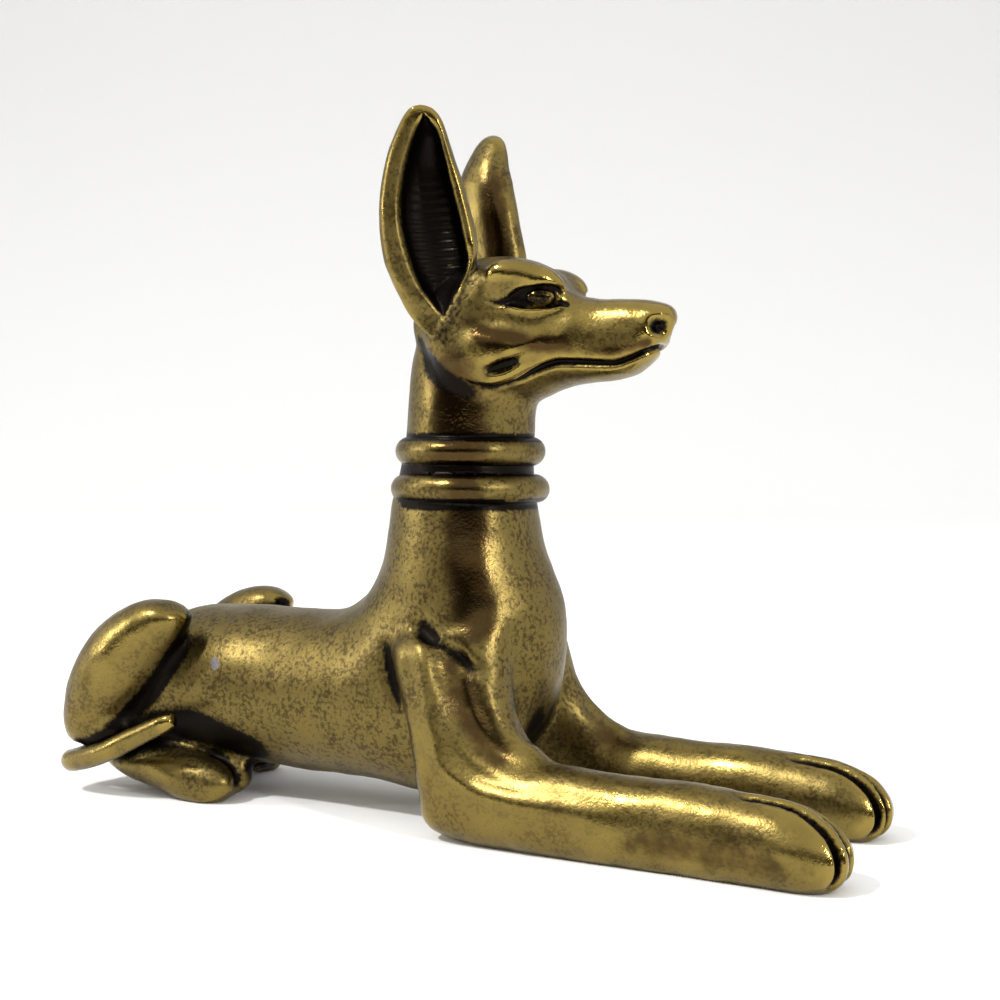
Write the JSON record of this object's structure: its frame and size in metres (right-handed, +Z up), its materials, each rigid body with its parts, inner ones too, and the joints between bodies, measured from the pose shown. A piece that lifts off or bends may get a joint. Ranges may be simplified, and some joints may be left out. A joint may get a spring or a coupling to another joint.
{
  "type": "recumbent jackal figurine",
  "caption": "Small cast brass jackal lying with its head up, forelegs stretched forward, tall ears, ringed collar and a tail wrapped round its flank.",
  "frame": {"origin": "on the ground plane under the middle of the figure's box", "axes": "+X forward along the body towards the nose and forepaws, +Y to the animal's left, +Z up"},
  "size_m": [0.0554, 0.0174, 0.0455],
  "materials": {
    "aged_brass": "antique cast brass: warm gold where rubbed, freckled olive-brown patina on the broad surfaces, black in the grooves"
  },
  "bodies": {
    "root": {"jackal_figure": "aged_brass"}
  },
  "joints": []
}
